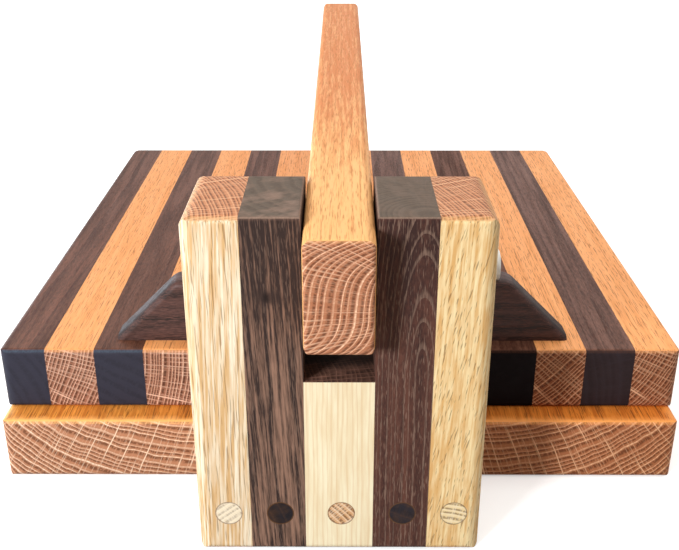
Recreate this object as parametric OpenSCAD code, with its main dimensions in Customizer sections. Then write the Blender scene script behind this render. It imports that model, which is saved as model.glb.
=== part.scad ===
// Tortilla press of laminated hardwood: two hinged boards, a slotted post and a long lever.
// Millimetres, +Z up, +Y to the rear. The origin is the middle of the base board's underside.

/* [Boards] */
// Width of the base board, left to right
base_w = 263; // [230:0.2:320]
// Width of the pressing plate, left to right
plate_w = 264.6; // [256:0.2:290]
// Depth of the base board, front to rear
base_d = 279.4; // [250:0.1:340]
// Thickness of the base board
base_t = 25.4; // [20:0.1:32]
// How far the base board shows in front of the pressing plate
ledge_d = 10.9; // [6:0.1:30]
// Thickness of the pressing plate
plate_t = 25.4; // [18:0.1:32]
// Width of a full stave of the pressing plate
stave_w = 19.05; // [17:0.05:20]
// Rounding of the boards' front corners, seen from above
board_corner_r = 4; // [1:0.5:10]
// Rounding of the boards' rear corners, seen from above
board_rear_r = 8; // [1:0.5:12]
// Rounding of the boards' long edges
board_edge_r = 2; // [0.5:0.25:5]

/* [Post] */
// Thickness of each dark inner cheek of the post
inner_cheek_t = 19.05; // [14:0.05:25]
// Thickness of each light outer cheek of the post
outer_cheek_t = 18.7; // [18.6:0.05:25]
// Depth of the post, front to rear
post_d = 43.4; // [40:0.1:60]
// Height of the post
post_h = 126.2; // [125:0.1:150]
// Height of the light spacer between the inner cheeks
spacer_h = 68.7; // [45:0.1:70]
// Rounding of the post's upright edges
post_edge_r = 4.5; // [1:0.5:4.5]
// Rounding of the post's outer and rear top edges
post_top_r = 5; // [0.5:0.25:6]
// Rounding of the outer cheeks' front top edges
outer_face_r = 2.5; // [0.5:0.25:4]
// Rounding of the inner cheeks' front top edges
inner_face_r = 1; // [0.5:0.25:4]
// Rounding of the post's bottom edges
post_foot_r = 2.5; // [0.5:0.25:6]
// Easing of the slot's top edges
slot_edge_r = 1; // [0.25:0.25:3]

/* [Dowels] */
// Diameter of the dowels that pin the post to the base board
dowel_d = 9.525; // [6:0.025:9.7]
// Height of the dowels above the table
dowel_z = 16; // [10:0.5:18]
// How far the row of dowels sits to the right of the post's middle
dowel_shift = 0.7; // [0:0.1:0.9]
// How far the outer dowels sit inwards of the middle of their cheeks
dowel_inset = 0.9; // [0.7:0.1:3]
// How far a dowel reaches into the base board
dowel_bite = 30; // [15:1:60]

/* [Lever] */
// Width of the lever
lever_w = 22.2; // [16:0.1:30]
// Height of the lever
lever_h = 38.9; // [30:0.1:40]
// Length of the lever
lever_l = 381; // [330:1:480]
// Rounding of the lever's long edges
lever_edge_r = 3.2; // [1:0.1:6]
// Rounding of the edges of the lever's ends
lever_end_r = 1.6; // [0.5:0.1:6]
// Gap between the lever and each wall of its slot
lever_side_gap = 0.6; // [0.3:0.1:2]
// Distance from the lever's front end to the pivot
lever_tail = 28.5; // [22:0.1:29]

/* [Pivot] */
// Diameter of the pivot pin
pivot_d = 12.7; // [8:0.1:14]
// Height of the pivot above the table
pivot_z = 105; // [104:0.1:107]
// Distance from the post's rear face forward to the pivot
pivot_setback = 27; // [22:0.5:30]

/* [Pressure bar] */
// Length of the bar along its foot
bar_l = 177; // [150:1:220]
// How far the bar and its rod sit to the right of the plate's middle
bar_shift = 1; // [0:0.1:4]
// Height of the bar
bar_h = 25.4; // [23:0.1:26]
// Thickness of the bar, front to rear
bar_t = 12.7; // [11:0.1:20]
// Distance from the plate's front edge to the bar
bar_setback = 8.3; // [3:0.1:20]
// Slope of the bar's ends
bar_end_angle = 45; // [35:1:60]
// Upright height of the bar's ends, below their slope
bar_foot_h = 1.5; // [0.5:0.1:4]
// Rounding of the bar's edges
bar_edge_r = 2.8; // [0.5:0.1:5]
// Diameter of the wear rod that the lever bears on
rod_d = 12.7; // [10:0.1:13]
// Length of the wear rod
rod_l = 121; // [90:1:125]
// Depth of the rod's seat in the bar
rod_seat = 2; // [1:0.1:3]

/* [Hinges] */
// Width of a hinge leaf
leaf_w = 38; // [34:0.5:44]
// Height of a hinge leaf, from the hinge axis to its free edge
leaf_h = 19; // [15:0.5:20]
// Thickness of a hinge leaf
leaf_t = 1.6; // [1:0.1:2]
// Outside diameter of the hinge barrel
barrel_d = 6.2; // [5:0.1:8]
// Diameter of the hinge pin
hinge_pin_d = 3; // [2:0.1:3.5]
// Head diameter of the hinge screws
screw_head_d = 6.6; // [5:0.1:7.5]
// Shank diameter of the hinge screws
screw_d = 3.4; // [2.5:0.1:4]
// Length of the hinge screws
screw_l = 22; // [14:1:35]
// Distance from the hinge axis to the screws
screw_rise = 11.5; // [9:0.5:13]

/* [Fits] */
// Radial clearance of a turning fit
turn_gap = 0.06; // [0.03:0.01:0.1]
// Radial clearance of a glued or driven fit
glue_gap = 0.02; // [0.01:0.01:0.05]
// Clearance between faces that move past each other
move_gap = 0.3; // [0.2:0.05:0.6]

/* [Hidden] */
$fn = 64;
base_front = -base_d / 2;
base_rear = base_d / 2;
plate_front = base_front + ledge_d;
plate_top = base_t + plate_t;
stave_n = 14;
function stave_left(i) = i == 0 ? -plate_w / 2 : (i - stave_n / 2) * stave_w;
function stave_right(i) = i == stave_n - 1 ? plate_w / 2 : (i + 1 - stave_n / 2) * stave_w;
function stave_name(i) = str("stave_", i < 9 ? "0" : "", i + 1);

slot_w = lever_w + 2 * lever_side_gap;
post_front = base_front - post_d;
inner_x = slot_w / 2;
joint_x = inner_x + inner_cheek_t;
outer_x = joint_x + outer_cheek_t;
dowel_l = post_d + dowel_bite;
inner_dowel_x = (inner_x + joint_x) / 2;
outer_dowel_x = (joint_x + outer_x) / 2 - dowel_inset;
dowel_xs = [for (x = [-outer_dowel_x, -inner_dowel_x, 0, inner_dowel_x, outer_dowel_x]) x + dowel_shift];

pivot_y = base_front - pivot_setback;
bar_front = plate_front + bar_setback;
rod_y = bar_front + bar_t / 2;
rod_z = plate_top + bar_h - rod_seat + rod_d / 2;
// The lever lies on the rod: its centre line passes the rod's axis at this distance
rod_reach = lever_h / 2 + rod_d / 2 + move_gap;
rod_dy = rod_y - pivot_y;
rod_dz = rod_z - pivot_z;
lever_tilt = asin(rod_reach / norm([rod_dy, rod_dz])) - atan2(-rod_dz, rod_dy);

hinge_x = 4 * stave_w;
screw_dx = stave_w / 2;
screw_xs = [-hinge_x - screw_dx, -hinge_x + screw_dx, hinge_x - screw_dx, hinge_x + screw_dx];
barrel_y = base_rear + barrel_d / 2 + move_gap;
knuckle_w = (leaf_w - 2 * move_gap) / 3;
knuckle_pitch = knuckle_w + move_gap;
head_h = leaf_t;
slot_cut_w = 1;
slot_cut_h = 0.6;
// Overshoot of a cutting shape past the face that it cuts
past = 1;

oak = "burlywood";
walnut = "#4a332b";
maple = "#ecd6a8";

STAVES = [for (i = [0 : stave_n - 1]) stave_name(i)];
DOWELS = ["dowel_left_outer", "dowel_left_inner", "dowel_centre", "dowel_right_inner",
    "dowel_right_outer"];

// Rectangle with its own radius at each corner: lower left, lower right, upper right, upper left
module eased_rect(w, h, r) {
    corners = [[0, 0], [w, 0], [w, h], [0, h]];
    difference() {
        square([w, h]);
        for (i = [0 : 3])
            if (r[i] > 0)
                translate(corners[i]) rotate(90 * i) difference() {
                    translate([-past, -past]) square(r[i] + past);
                    translate([r[i], r[i]]) circle(r[i]);
                }
    }
}

// Extrusion along X of a profile drawn in Y and Z
module along_x(x0, x1) {
    translate([x0, 0, 0]) rotate([90, 0, 90]) linear_extrude(x1 - x0) children();
}

// Extrusion along Y of a profile drawn in X and Z
module along_y(y0, y1) {
    translate([0, y1, 0]) rotate([90, 0, 0]) linear_extrude(y1 - y0) children();
}

// Cylinder along X, from x0 to x1, at a place in Y and Z
module round_x(d, x0, x1, y, z) {
    translate([x0, y, z]) rotate([0, 90, 0]) cylinder(d = d, h = x1 - x0);
}

// Cylinder along Y, from y0 to y1, at a place in X and Z
module round_y(d, x, y0, y1, z) {
    translate([x, y1, z]) rotate([90, 0, 0]) cylinder(d = d, h = y1 - y0);
}

// Slice of an eased board between two places in X; left and right say which of its sides is the board's own
module board_slice(x0, x1, y0, y1, z0, t, left, right) {
    w = x1 - x0;
    front_rs = [left ? board_corner_r : 0, right ? board_corner_r : 0];
    rear_rs = [right ? board_rear_r : 0, left ? board_rear_r : 0];
    e_left = left ? board_edge_r : 0;
    e_right = right ? board_edge_r : 0;
    intersection() {
        along_x(x0, x1) translate([y0, z0])
            eased_rect(y1 - y0, t, [board_edge_r, board_edge_r, board_edge_r, board_edge_r]);
        if (left || right)
            translate([x0, y0, z0]) linear_extrude(t)
                eased_rect(w, y1 - y0, concat(front_rs, rear_rs));
        if (left || right)
            along_y(y0, y1) translate([x0, z0])
                eased_rect(w, t, [e_left, e_right, e_right, e_left]);
    }
}

module dowel_bores() {
    for (x = dowel_xs)
        round_y(dowel_d + 2 * glue_gap, x, post_front - past, base_front + dowel_bite, dowel_z);
}

module pivot_bore() {
    round_x(pivot_d + 2 * glue_gap, -outer_x - past, outer_x + past, pivot_y, pivot_z);
}

// Pilot holes of the hinge screws at one height, in the boards' rear faces
module pilot_bores(z, xs) {
    for (x = xs)
        round_y(screw_d + 2 * glue_gap, x, base_rear - screw_l, base_rear + past, z);
}

module base_board() {
    color(oak) difference() {
        board_slice(-base_w / 2, base_w / 2, base_front, base_rear, 0, base_t, true, true);
        dowel_bores();
        pilot_bores(base_t - screw_rise, screw_xs);
    }
}

module stave(i) {
    x0 = stave_left(i);
    x1 = stave_right(i);
    inside = [for (x = screw_xs) if (x > x0 && x < x1) x];
    color(i % 2 == 0 ? walnut : oak) difference() {
        board_slice(x0, x1, plate_front, base_rear, base_t, plate_t, i == 0, i == stave_n - 1);
        pilot_bores(base_t + screw_rise, inside);
    }
}

// Right-hand shape, or its mirror image where side is -1
module on_side(side) {
    if (side < 0)
        mirror([1, 0, 0]) children();
    else
        children();
}

// One upright lamination of the post, from the slot outwards; side is -1 for the left and 1 for the right
module cheek(side, x0, x1, face_r, slot_r, edge_r, top_r, foot_r) {
    difference() {
        on_side(side) intersection() {
            along_x(x0, x1) translate([post_front, 0])
                eased_rect(post_d, post_h, [post_foot_r, 0, post_top_r, face_r]);
            along_y(post_front, base_front) translate([x0, 0])
                eased_rect(x1 - x0, post_h, [0, foot_r, top_r, slot_r]);
            if (edge_r > 0)
                translate([x0, post_front, 0]) linear_extrude(post_h)
                    eased_rect(x1 - x0, post_d, [0, edge_r, edge_r, 0]);
        }
        dowel_bores();
        pivot_bore();
    }
}

module inner_cheek(side) {
    color(walnut) cheek(side, inner_x, joint_x, inner_face_r, slot_edge_r, 0, 0, 0);
}

module outer_cheek(side) {
    color(oak) cheek(side, joint_x, outer_x, outer_face_r, 0, post_edge_r, post_top_r, post_foot_r);
}

module centre_spacer() {
    color(maple) difference() {
        along_x(-inner_x, inner_x) translate([post_front, 0])
            eased_rect(post_d, spacer_h, [post_foot_r, 0, 0, 0]);
        dowel_bores();
    }
}

module dowel(i) {
    color(i % 2 == 0 ? oak : walnut)
        round_y(dowel_d, dowel_xs[i], post_front, post_front + dowel_l, dowel_z);
}

module pivot_pin() {
    color("silver") round_x(pivot_d, -joint_x, joint_x, pivot_y, pivot_z);
}

module pivot_plug() {
    color(walnut) round_x(pivot_d, joint_x, outer_x, pivot_y, pivot_z);
}

// Bar with a flat top and sloping ends, rounded all over but for its foot, grooved for the rod
module pressure_bar() {
    r = bar_edge_r;
    foot_x = bar_l / 2 - r;
    // Spheres touch the top and the sloping ends from inside
    top_x = bar_l / 2 - (bar_h - r - bar_foot_h) / tan(bar_end_angle) - r / sin(bar_end_angle);
    color(walnut) difference() {
        translate([bar_shift, rod_y, plate_top]) hull()
            for (sx = [-1, 1], sy = [-1, 1]) {
                translate([sx * top_x, sy * (bar_t / 2 - r), bar_h - r]) sphere(r, $fn = 32);
                translate([sx * foot_x, sy * (bar_t / 2 - r), 0]) cylinder(r = r, h = bar_foot_h, $fn = 32);
            }
        round_x(rod_d + 2 * glue_gap, bar_shift - bar_l / 2, bar_shift + bar_l / 2, rod_y, rod_z);
    }
}

module wear_rod() {
    color("white") round_x(rod_d, bar_shift - rod_l / 2, bar_shift + rod_l / 2, rod_y, rod_z);
}

module lever() {
    long_r = [lever_edge_r, lever_edge_r, lever_edge_r, lever_edge_r];
    end_r = [lever_end_r, lever_end_r, lever_end_r, lever_end_r];
    color(oak) translate([0, pivot_y, pivot_z]) rotate([lever_tilt, 0, 0]) difference() {
        intersection() {
            along_x(-lever_w / 2, lever_w / 2) translate([-lever_tail, -lever_h / 2])
                eased_rect(lever_l, lever_h, end_r);
            along_y(-lever_tail, lever_l - lever_tail) translate([-lever_w / 2, -lever_h / 2])
                eased_rect(lever_w, lever_h, long_r);
            translate([-lever_w / 2, -lever_tail, -lever_h / 2]) linear_extrude(lever_h)
                eased_rect(lever_w, lever_l, end_r);
        }
        round_x(pivot_d + 2 * turn_gap, -lever_w, lever_w, 0, 0);
    }
}

// Leaf of the right hinge; side is -1 for the base board's leaf and 1 for the plate's.
// The base leaf has the two outer knuckles and the plate leaf the middle one.
module leaf(side) {
    own = side < 0 ? [-1, 1] : [0];
    others = side < 0 ? [0] : [-1, 1];
    x0 = hinge_x - leaf_w / 2;
    color("goldenrod") difference() {
        union() {
            translate([x0, base_rear, base_t + (side < 0 ? -leaf_h : 0)]) cube([leaf_w, leaf_t, leaf_h]);
            for (k = own)
                round_x(barrel_d, hinge_x + k * knuckle_pitch - knuckle_w / 2,
                    hinge_x + k * knuckle_pitch + knuckle_w / 2, barrel_y, base_t);
        }
        for (k = others)
            translate([hinge_x + k * knuckle_pitch - knuckle_w / 2 - move_gap, base_rear - past,
                base_t - barrel_d / 2 - move_gap])
                cube([knuckle_w + 2 * move_gap, barrel_d + 2 * past, barrel_d + 2 * move_gap]);
        round_x(hinge_pin_d + 2 * turn_gap, x0 - past, x0 + leaf_w + past, barrel_y, base_t);
        for (sx = [-screw_dx, screw_dx])
            translate([hinge_x + sx, base_rear, base_t + side * screw_rise]) screw_shape(glue_gap);
    }
}

// Countersunk screw pointing into the board, its head flush with the leaf; gap grows it
module screw_shape(gap) {
    rotate([-90, 0, 0]) union() {
        translate([0, 0, -screw_l + gap]) cylinder(d = screw_d + 2 * gap, h = screw_l + head_h);
        cylinder(d1 = screw_d + 2 * gap, d2 = screw_head_d + 2 * gap, h = head_h);
    }
}

module hinge_pin() {
    color("goldenrod") round_x(hinge_pin_d, hinge_x - leaf_w / 2, hinge_x + leaf_w / 2, barrel_y, base_t);
}

module leaf_screws(side) {
    color("gold")
        for (x = screw_xs)
            translate([x, base_rear, base_t + side * screw_rise]) difference() {
                screw_shape(0);
                translate([-screw_head_d, head_h - slot_cut_h, -slot_cut_w / 2])
                    cube([2 * screw_head_d, slot_cut_h + past, slot_cut_w]);
            }
}

base_board();
outer_cheek(-1);  // left_outer_cheek
inner_cheek(-1);  // left_inner_cheek
centre_spacer();
inner_cheek(1);  // right_inner_cheek
outer_cheek(1);  // right_outer_cheek
pivot_pin();
mirror([1, 0, 0]) pivot_plug();  // left_pivot_plug
pivot_plug();  // right_pivot_plug
for (i = [0 : 4]) dowel(i);
for (i = [0 : stave_n - 1]) stave(i);
pressure_bar();
wear_rod();
lever();
mirror([1, 0, 0]) leaf(-1);  // left_base_leaf
leaf(-1);  // right_base_leaf
mirror([1, 0, 0]) leaf(1);  // left_plate_leaf
leaf(1);  // right_plate_leaf
mirror([1, 0, 0]) hinge_pin();  // left_hinge_pin
hinge_pin();  // right_hinge_pin
leaf_screws(-1);  // base_leaf_screws
leaf_screws(1);  // plate_leaf_screws
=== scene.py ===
from math import pi, radians

import bmesh
import bpy
from bpy.props import FloatProperty, FloatVectorProperty, PointerProperty
from mathutils import Euler, Matrix, Vector


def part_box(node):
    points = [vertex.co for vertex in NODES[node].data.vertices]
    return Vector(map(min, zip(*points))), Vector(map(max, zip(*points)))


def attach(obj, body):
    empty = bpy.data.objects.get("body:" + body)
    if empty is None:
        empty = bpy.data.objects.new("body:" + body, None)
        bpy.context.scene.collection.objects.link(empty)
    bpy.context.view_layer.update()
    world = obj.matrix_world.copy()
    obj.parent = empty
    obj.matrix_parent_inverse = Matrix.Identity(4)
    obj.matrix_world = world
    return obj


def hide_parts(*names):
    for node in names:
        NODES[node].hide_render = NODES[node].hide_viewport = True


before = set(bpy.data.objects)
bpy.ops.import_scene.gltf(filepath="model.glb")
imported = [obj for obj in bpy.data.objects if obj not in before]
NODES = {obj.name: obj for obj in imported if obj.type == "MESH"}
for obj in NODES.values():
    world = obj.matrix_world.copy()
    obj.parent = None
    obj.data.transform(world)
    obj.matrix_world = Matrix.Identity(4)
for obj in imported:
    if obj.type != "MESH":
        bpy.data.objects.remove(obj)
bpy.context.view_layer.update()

bl_info = {
    "name": "Wooden Tortilla Press",
    "version": (1, 0, 0),
    "blender": (4, 5, 0),
    "location": "View3D > Sidebar > Press",
    "description": "Dresses the wooden tortilla press and sets its studio",
    "category": "Object",
}

MM = 0.001
WHITE, BLACK = (1, 1, 1, 1), (0, 0, 0, 1)

# How a wood is built: widths and lengths in millimetres, angles in degrees, amounts from 0 to 1
PLAIN = dict(
    taper=0.0, sway=0.0, bulge=0.0, dish=0.0, fan=0.0, ring_glow=0.0,
    pore_lean=0.0, pore_level=0.60, edge_width=1.6, seam=0.0, knot=(),
    fade=0.0, heart=0.0, soot=0.0,
)
OAK = dict(
    PLAIN,
    wave=2.0, ripple=0.6, ring_shade=0.15,
    streak_width=2.6, streak_length=60.0, streak_shade=0.45,
    fibre_length=6.0, fibre_shade=0.35,
    pore_width=0.38, pore_length=5.0, pore_depth=0.6,
    ray_spacing=2.4, ray_width=0.28, ray_height=18.0, ray_light=0.95,
    line_light=0.55, row_depth=0.9, figure=0.0, rim=0.5, wear=0.0,
    roughness=0.50, shine=0.22, relief=0.05,
)
WALNUT = dict(
    PLAIN,
    ring_width=4.5, wave=4.0, ripple=1.0, taper=0.02, ring_shade=0.25,
    streak_width=3.4, streak_length=60.0, streak_shade=0.55,
    fibre_length=3.0, fibre_shade=0.55,
    pore_width=0.34, pore_length=4.0, pore_depth=0.45,
    ray_spacing=1.4, ray_width=0.20, ray_height=6.0, ray_light=0.10,
    line_light=0.15, row_depth=0.25, figure=0.2, rim=0.7, wear=0.25,
    roughness=0.48, shine=0.07, relief=0.03,
)
MAPLE = dict(
    PLAIN,
    ring_width=1.7, wave=1.5, ripple=1.6, ring_shade=0.5,
    streak_width=2.2, streak_length=22.0, streak_shade=0.6,
    fibre_length=8.0, fibre_shade=0.25,
    pore_width=0.30, pore_length=6.0, pore_depth=0.12,
    ray_spacing=1.4, ray_width=0.22, ray_height=5.0, ray_light=0.5,
    line_light=0.4, row_depth=0.7, figure=0.3, rim=0.0, wear=0.0,
    roughness=0.48, shine=0.22, relief=0.02,
)

# Noise steps per millimetre, twice across the grain and then along it
WAVE_STEPS = (0.03, 0.03, 0.006)
RIPPLE_STEPS = (0.14, 0.14, 0.04)
WANDER_STEPS = (0.05, 0.05, 0.02)
FIGURE_STEPS = (0.09, 0.17, 0.01)

# Width of the finest fibres, in millimetres
FIBRE_WIDTH = 0.6

# Noise steps per metre
EDGE_STEPS = (220, 220, 220)
KNOT_STEPS = (300, 0, 300)
TURNING_STEPS = (2200, 60, 60)
SMEAR_STEPS = (60, 200, 200)
TARNISH_STEPS = (120, 120, 120)
HINGE_BRUSHING = (90, 900, 900)
SCREW_BRUSHING = (700, 90, 700)
PIN_BRUSHING = (2500, 60, 60)
PAPER_STEPS = (400, 400, 400)

# Parts of a ring's year, from one spring at 0 to the next at 1
EARLYWOOD = (0.05, 0.45)
LIGHT_LINE = (0.10, 0.26)
ROW_START, ROW_STOP = (0.16, 0.36), (0.52, 0.80)

# How squarely a face cuts the grain, from 0 on long grain to 1 on end grain
END_FACE = (0.45, 0.66)
# Where on an eased edge, on the same measure, the painted highlight comes in and goes out
HIGHLIGHT_START, HIGHLIGHT_STOP = (0.30, 0.60), (0.80, 0.97)

# How far a face looks up before the painted highlight on its eased edges shows
HIGHLIGHT_UPWARD = (0.15, 0.45)

# Painted shade: a warmer, deeper tint towards a plank's right side
RIGHT_SHADE_TINT = (1.0, 0.74, 0.52)

# Share of the end grain's ground that its dark rows of pores keep
ROW_SHADE = (0.28, 0.21, 0.16)

# Where the painted shade on the slot's floor starts and is full, from the front, in millimetres
SLOT_SHADE_REACH = (4, 17)

# Where the glue seam round a dowel starts and is full, inwards from its rim, in millimetres
SEAM_REACH = (0.55, 0.15)

# Width and height of a knot's smudge and of its eye, for a knot of size 1
KNOT_SMUDGE, KNOT_EYE = (3.0, 1.6), (0.5, 0.9)

# Share of the dark streaks' tone that a knot's eye keeps
KNOT_SHADE = 0.35

# How much rings differ in tone, and how much streaks, end grain and pores roughen a wood
RING_SPREAD = 0.2
STREAK_ROUGH, END_ROUGH, PORE_ROUGH = 0.10, 0.08, 0.12

# How far rays stand up, next to the depth of pores
RAY_HEIGHT = 0.3

# A glued side of a piece is taken as this far off, in metres, so that it has no worn edges and no painted edge
# highlight
GLUED_AWAY = 1.0

# Turns that bring grain along X, Y or Z of the press onto Z of the log
GRAIN_TURNS = {
    "X": Matrix(((0, 1, 0), (0, 0, 1), (1, 0, 0))),
    "Y": Matrix(((1, 0, 0), (0, 0, 1), (0, -1, 0))),
    "Z": Matrix.Identity(3),
}

# Staves from left to right, and the angle that each is cut at from its log
STAVES = ["stave_%02d" % number for number in range(1, 15)]
STAVE_ANGLES = (20, -22, 60, -9, -35, 15, 40, -12, 70, 25, -50, -42, 10, -29)

# Stave that stands in the deep shade beside the post, with that shade painted into its end grain
SHADED_STAVE = "stave_11"

# How far the staves lie from their piths, in turn, and from one to the next along the log, in millimetres
STAVE_PITHS = (70.0, 81.0, 92.0, 103.0)
STAVE_LOG_STEP = 310.0

# Strength of the bump of wood, and strength and relief in millimetres of tool marks
WOOD_BUMP, TOOL_MARKS = 0.5, (0.3, 0.02)

# Fineness of the modelled pieces
BAR_EDGE_SEGMENTS, ROD_EDGE_SEGMENTS, ROD_SEGMENTS = 8, 4, 64
SHARP_ANGLE = radians(40)


def colour(name, description, default):
    """Setting for a colour."""
    return FloatVectorProperty(
        name=name, description=description, subtype="COLOR", size=3, min=0, max=1, default=default)


def measure(name, description, default, unit="NONE"):
    """Setting for a number."""
    return FloatProperty(name=name, description=description, unit=unit, default=default)


def site(name, description, default):
    """Setting for a place."""
    return FloatVectorProperty(
        name=name, description=description, subtype="TRANSLATION", unit="LENGTH", default=default)


class BoardFinish(bpy.types.PropertyGroup):
    """Oak of the base board."""
    pale: colour("Pale grain", "Light wood of the long faces", (0.84, 0.335, 0.057))
    deep: colour("Deep grain", "Dark streaks of the long faces", (0.52, 0.16, 0.022))
    pore: colour("Pores", "Open pores of the long faces", (0.22, 0.07, 0.012))
    # Painted highlight: the light line on the base's up-facing eased edges and the light band along its edges
    rim: colour("Eased edges", "Light wood of the eased edges", (1.0, 0.50, 0.16))
    end_pale: colour("End rays", "Light rings and rays of the end grain", (1.0, 0.74, 0.53))
    end_deep: colour("End ground", "Ground of the end grain", (0.47, 0.202, 0.104))


class PlateFinish(bpy.types.PropertyGroup):
    """Oak and walnut staves of the pressing plate."""
    oak_pale: colour("Oak pale", "Light wood of the oak staves on the left", (0.84, 0.366, 0.129))
    oak_deep: colour("Oak deep", "Dark streaks of the oak staves", (0.72, 0.28, 0.085))
    oak_pore: colour("Oak pores", "Open pores of the oak staves", (0.36, 0.14, 0.05))
    oak_end_pale: colour("Oak end rays", "Light lines of the oak end grain", (1.0, 0.66, 0.48))
    oak_end_deep: colour("Oak end ground", "Ground of the oak end grain", (0.295, 0.124, 0.073))
    # Painted light and shade: the oak staves on the right take a copy with lighter tops and darker, warmer end
    # grain and lines
    oak_pale_lit_right: colour(
        "Brown oak pale", "Light wood of the oak staves on the right", (0.9912, 0.43188, 0.15222))
    oak_line_shaded_right: colour("Brown oak rays", "Light lines of the oak end grain on the right", (1.0, 0.60, 0.36))
    oak_end_shaded_right: colour("Brown oak end", "Ground of the oak end grain on the right", (0.28, 0.088, 0.036))
    walnut_pale: colour("Walnut pale", "Light wood of the walnut staves", (0.165, 0.062, 0.034))
    walnut_deep: colour("Walnut deep", "Dark streaks of the walnut staves", (0.058, 0.022, 0.013))
    walnut_pore: colour("Walnut pores", "Open pores of the walnut staves", (0.060, 0.020, 0.012))
    # Painted highlight: bluish light line on the walnut staves' eased edges
    walnut_edge_highlight: colour("Walnut eased edges", "Polished edges of the walnut staves", (0.060, 0.080, 0.110))
    # Painted reflection: the bluish tone of the walnut ends on the left and of the end lines
    walnut_end: colour("Walnut end", "End grain of the walnut staves on the left", (0.026, 0.025, 0.038))
    walnut_line: colour("Walnut end lines", "Faint lines of the walnut end grain", (0.040, 0.038, 0.052))
    # Painted light and shade: the walnut staves on the right take a copy with lighter, warmer tops and darker
    # end grain
    brown_pale: colour("Brown walnut", "Light wood of the walnut staves on the right", (0.195, 0.084, 0.054))
    walnut_end_shaded_right: colour("Brown walnut end", "End grain of the walnut staves on the right", (0.022, 0.012, 0.013))
    # Painted shadow: near-black end grain and lines of the stave in the post's shade
    stave_shadow_line: colour("Dark walnut lines", "Faint end lines of the shaded stave", (0.0066, 0.0036, 0.0039))
    stave_shadow_end: colour("Dark walnut end", "End grain of the shaded stave", (0.0044, 0.0024, 0.0026))


class PostFinish(bpy.types.PropertyGroup):
    """Cheeks, spacer and dowels of the post."""
    oak_pale: colour("Oak pale", "Light wood of the left outer cheek", (0.87, 0.77, 0.59))
    oak_deep: colour("Oak deep", "Dark streaks of the left outer cheek", (0.64, 0.39, 0.175))
    oak_pore: colour("Oak pores", "Open pores of the outer cheeks", (0.22, 0.11, 0.035))
    gold_pale: colour("Golden oak pale", "Light wood of the right outer cheek", (0.96, 0.79, 0.46))
    gold_deep: colour("Golden oak deep", "Dark streaks of the right outer cheek", (0.72, 0.41, 0.15))
    oak_end_pale: colour("Oak end rays", "Light lines of the cheeks' end grain", (1.0, 0.62, 0.36))
    oak_end_deep: colour("Oak end ground", "Ground of the cheeks' end grain", (0.52, 0.203, 0.09))
    walnut_pale: colour("Walnut pale", "Light wood of the left inner cheek", (0.29, 0.162, 0.111))
    walnut_deep: colour("Walnut deep", "Dark streaks of the left inner cheek", (0.034, 0.021, 0.018))
    brown_pale: colour("Brown walnut pale", "Light wood of the right inner cheek", (0.118, 0.048, 0.034))
    brown_deep: colour("Brown walnut deep", "Dark streaks of the right inner cheek", (0.042, 0.021, 0.018))
    walnut_fleck: colour("Walnut flecks", "Light flecks of the inner cheeks", (0.30, 0.19, 0.14))
    walnut_end: colour("Walnut end", "End grain of the inner cheeks", (0.125, 0.092, 0.068))
    dowel_pale: colour("Dowel pale", "Light lines of the oak dowels' ends", (0.95, 0.85, 0.67))
    dowel_cream: colour("Dowel cream", "Ground of the left oak dowel's end", (0.8125, 0.675, 0.48625))
    dowel_deep: colour("Dowel ground", "Ground of the middle oak dowel's end", (0.68, 0.37, 0.17))
    dowel_gold: colour("Dowel gold", "Ground of the right oak dowel's end", (0.888, 0.676, 0.367))
    dowel_dark: colour("Dowel dark", "Walnut dowels and plugs", (0.014, 0.012, 0.015))
    dowel_worn: colour("Dowel worn", "End of the right walnut dowel", (0.0224, 0.0192, 0.024))
    seam: colour("Seam", "Dark glue seam round the dowels", (0.16, 0.07, 0.025))
    maple_pale: colour("Maple pale", "Light wood of the spacer", (0.92, 0.82, 0.58))
    maple_deep: colour("Maple deep", "Dark streaks of the spacer", (0.79, 0.60, 0.36))
    maple_line: colour("Maple end lines", "Light lines on the slot's floor", (0.57, 0.276, 0.192))
    # Partly oil-dark end grain, partly painted shade of the slot under the lever
    maple_end_oil_and_shade: colour("Maple end", "Oil-dark end grain on the slot's floor", (0.095, 0.046, 0.032))


class LeverFinish(bpy.types.PropertyGroup):
    """Oak of the lever."""
    pale: colour("Pale grain", "Light wood of the long faces", (0.92, 0.475, 0.172))
    deep: colour("Deep grain", "Dark streaks of the long faces", (0.66, 0.22, 0.062))
    pore: colour("Pores", "Open pores of the long faces", (0.45, 0.17, 0.05))
    end_pale: colour("End rays", "Light rings and rays of the end grain", (1.0, 0.62, 0.40))
    end_deep: colour("End ground", "Ground of the end grain", (0.43, 0.160, 0.076))


class BarFinish(bpy.types.PropertyGroup):
    """Pressure bar with its wear rod."""
    edge_round: measure("Edge rounding", "Radius of the bar's edges", 2.8 * MM, "LENGTH")
    foot: measure("Foot height", "Upright height of the bar's ends", 1.5 * MM, "LENGTH")
    rod_chamfer: measure("Rod chamfer", "Rounding of the rod's ends", 0.8 * MM, "LENGTH")
    walnut_pale: colour("Walnut pale", "Light wood of the bar", (0.098, 0.042, 0.033))
    walnut_deep: colour("Walnut deep", "Dark streaks of the bar", (0.015, 0.0065, 0.0045))
    walnut_pore: colour("Walnut pores", "Open pores of the bar", (0.1568, 0.0672, 0.0528))
    rod: colour("Rod", "White of the wear rod", (0.86, 0.85, 0.80))
    rod_smear: colour("Rod smears", "Rubbed patches of the wear rod", (0.7568, 0.748, 0.704))


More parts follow.
